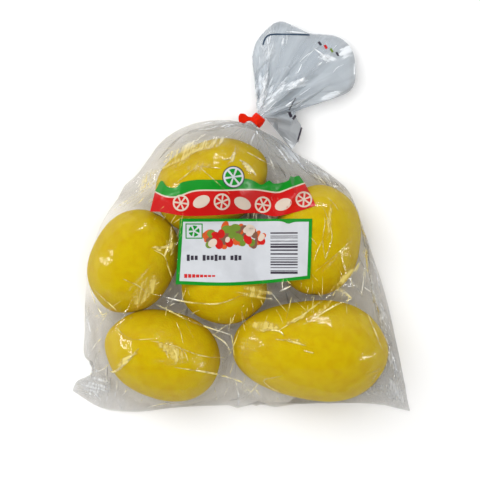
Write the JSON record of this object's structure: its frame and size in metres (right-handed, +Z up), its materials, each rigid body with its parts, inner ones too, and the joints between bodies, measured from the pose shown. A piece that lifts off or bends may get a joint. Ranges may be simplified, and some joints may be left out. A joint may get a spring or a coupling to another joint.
{
  "type": "bag of lemons",
  "caption": "Clear film bag of whole lemons, gathered and taped at the neck with its free end fanned out, lying flat with the printed side up.",
  "frame": {"origin": "on the surface that the bag lies on, under the middle of its outline", "axes": "+X to the bag's right with the printed side up, +Y from the bottom seal towards the neck, +Z up"},
  "size_m": [0.22, 0.254, 0.0668],
  "materials": {
    "film": "clear glossy polythene with creases",
    "tape": "glossy orange-red tape",
    "lemon": "waxy dimpled yellow peel",
    "print": "printed ink on film"
  },
  "bodies": {
    "root": {"bag": "film", "tape": "tape"}
  },
  "joints": []
}
